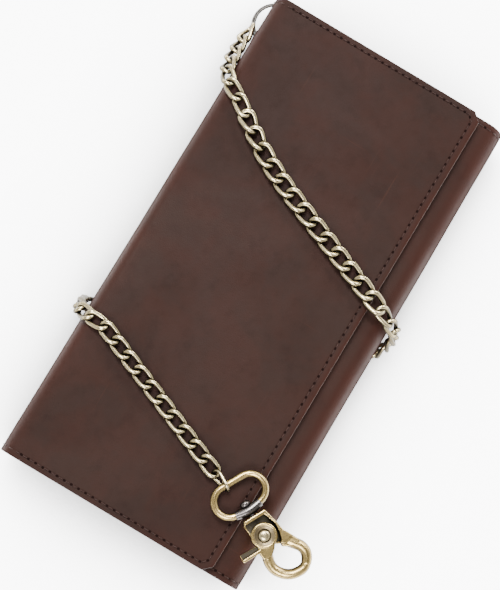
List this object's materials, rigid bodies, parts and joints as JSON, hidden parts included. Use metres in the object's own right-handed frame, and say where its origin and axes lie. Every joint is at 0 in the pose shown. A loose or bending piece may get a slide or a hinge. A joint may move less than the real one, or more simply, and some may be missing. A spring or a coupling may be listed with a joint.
{
  "type": "chain wallet",
  "caption": "Long leather wallet with a fold-over flap, a curb chain wound round it from a split ring, and a swivel trigger hook at its free end.",
  "frame": {"origin": "bottom centre of the whole object's box, on the surface it lies on", "axes": "+X from the folded spine to the closed right fold, +Y towards the end with the ring, +Z out of the flap"},
  "size_m": [0.1182, 0.1924, 0.0354],
  "materials": {
    "cover_leather": "waxed pull-up leather, satin, lightly scuffed",
    "pocket_leather": "thin waxed leather, satin",
    "lining_leather": "flesh side, matte",
    "snap_metal": "antique plated",
    "zip_tape": "woven tape",
    "zip_brass": "aged brass",
    "window_plastic": "clear soft sheet",
    "dark_brass": "dark antique plated",
    "ring_steel": "dark plated",
    "antique_brass": "antique brass, pale highlights and dark recesses"
  },
  "bodies": {
    "wallet": {"outer_cover": "cover_leather", "flap_fold": "cover_leather", "card_slot_first": "pocket_leather", "card_slot_second": "pocket_leather", "card_slot_third": "pocket_leather", "id_window_frame": "pocket_leather", "zip_pocket_back": "pocket_leather", "zip_pocket_front": "pocket_leather", "back_lining": "lining_leather", "front_lining": "lining_leather", "gusset_upper": "lining_leather", "gusset_lower": "lining_leather", "snap_stud_upper": "snap_metal", "snap_stud_lower": "snap_metal", "snap_washer_upper": "snap_metal", "snap_washer_lower": "snap_metal", "zip_tape_back": "zip_tape", "zip_tape_front": "zip_tape", "zip_teeth_back": "zip_brass", "zip_teeth_front": "zip_brass", "zip_stop_upper": "zip_brass", "zip_stop_lower": "zip_brass", "id_window": "window_plastic", "eyelet_barrel": "dark_brass", "eyelet_washer": "dark_brass", "split_ring": "ring_steel", "chain_run_spine": "antique_brass", "chain_run_upper": "antique_brass", "chain_run_right": "antique_brass", "chain_run_behind": "antique_brass", "chain_run_left": "antique_brass"},
    "flap": {"flap_outer": "cover_leather", "flap_lining": "lining_leather", "snap_socket_upper": "snap_metal", "snap_socket_lower": "snap_metal"},
    "chain_free_end": {"chain_link_00": "antique_brass", "chain_link_01": "antique_brass"},
    "chain_pair_a": {"chain_link_02": "antique_brass", "chain_link_03": "antique_brass"},
    "chain_pair_b": {"chain_link_04": "antique_brass", "chain_link_05": "antique_brass"},
    "chain_pair_c": {"chain_link_06": "antique_brass", "chain_link_07": "antique_brass"},
    "chain_pair_d": {"chain_link_08": "antique_brass", "chain_link_09": "antique_brass"},
    "chain_end": {"chain_link_10": "antique_brass"},
    "swivel_eye": {"swivel_eye": "antique_brass"},
    "hook": {"hook_body": "antique_brass", "swivel_post": "ring_steel", "trigger_rivet": "antique_brass", "trigger_spring": "ring_steel"},
    "trigger": {"trigger_claw": "antique_brass"},
    "zip_slider": {"zip_slider": "zip_brass"},
    "zip_pull": {"zip_pull": "zip_brass"}
  },
  "joints": [
    {"name": "flap_hinge", "type": "hinge", "parent": "wallet", "child": "flap", "pos_m": [-0.05173, -0.00118, 0.0276], "axis": [0, -1, 0], "range_deg": [0, 180], "deforming": ["flap_fold", "chain_run_spine", "chain_run_upper", "chain_run_right", "chain_run_left"]},
    {"name": "chain_drop", "type": "slide", "parent": "flap", "child": "chain_free_end", "axis": [0, 0, 1], "range_m": [0, 0.0195]},
    {"name": "chain_bend_1", "type": "hinge", "parent": "chain_free_end", "child": "chain_pair_a", "pos_m": [-0.03257, -0.046, 0.0311], "axis": [-0.3771, -0.9262, 0], "range_deg": [0, 20]},
    {"name": "chain_bend_2", "type": "hinge", "parent": "chain_pair_a", "child": "chain_pair_b", "pos_m": [-0.02066, -0.05085, 0.0311], "axis": [-0.3771, -0.9262, 0], "range_deg": [0, 20]},
    {"name": "chain_bend_3", "type": "hinge", "parent": "chain_pair_b", "child": "chain_pair_c", "pos_m": [-0.00875, -0.0557, 0.0311], "axis": [-0.3771, -0.9262, 0], "range_deg": [0, 20]},
    {"name": "chain_bend_4", "type": "hinge", "parent": "chain_pair_c", "child": "chain_pair_d", "pos_m": [0.00316, -0.06055, 0.0311], "axis": [-0.3771, -0.9262, 0], "range_deg": [0, 20]},
    {"name": "chain_bend_5", "type": "hinge", "parent": "chain_pair_d", "child": "chain_end", "pos_m": [0.01507, -0.0654, 0.0311], "axis": [-0.3771, -0.9262, 0], "range_deg": [0, 20]},
    {"name": "eye_tilt", "type": "hinge", "parent": "chain_end", "child": "swivel_eye", "pos_m": [0.02135, -0.06502, 0.0322], "axis": [-0.4691, -0.8832, 0], "range_deg": [0, 35]},
    {"name": "swivel_turn", "type": "hinge", "parent": "swivel_eye", "child": "hook", "pos_m": [0.03152, -0.07043, 0.0322], "axis": [-0.8832, 0.4691, 0], "range_deg": [-15, 180]},
    {"name": "trigger_pull", "type": "hinge", "parent": "hook", "child": "trigger", "pos_m": [0.04034, -0.07511, 0.0322], "axis": [0, 0, -1], "range_deg": [0, 32], "stiffness_Nm_per_rad": 0.02, "springref_deg": -20.05},
    {"name": "zip_slide", "type": "slide", "parent": "wallet", "child": "zip_slider", "axis": [0, -1, 0], "range_m": [0, 0.136]},
    {"name": "zip_pull_flip", "type": "hinge", "parent": "zip_slider", "child": "zip_pull", "pos_m": [-0.04558, 0.06682, 0.014], "axis": [-1, 0, 0], "range_deg": [0, 35]}
  ],
  "couplings": [
    {"joint": "chain_drop", "follows": "flap_hinge", "m_per_rad": 0.006207}
  ]
}
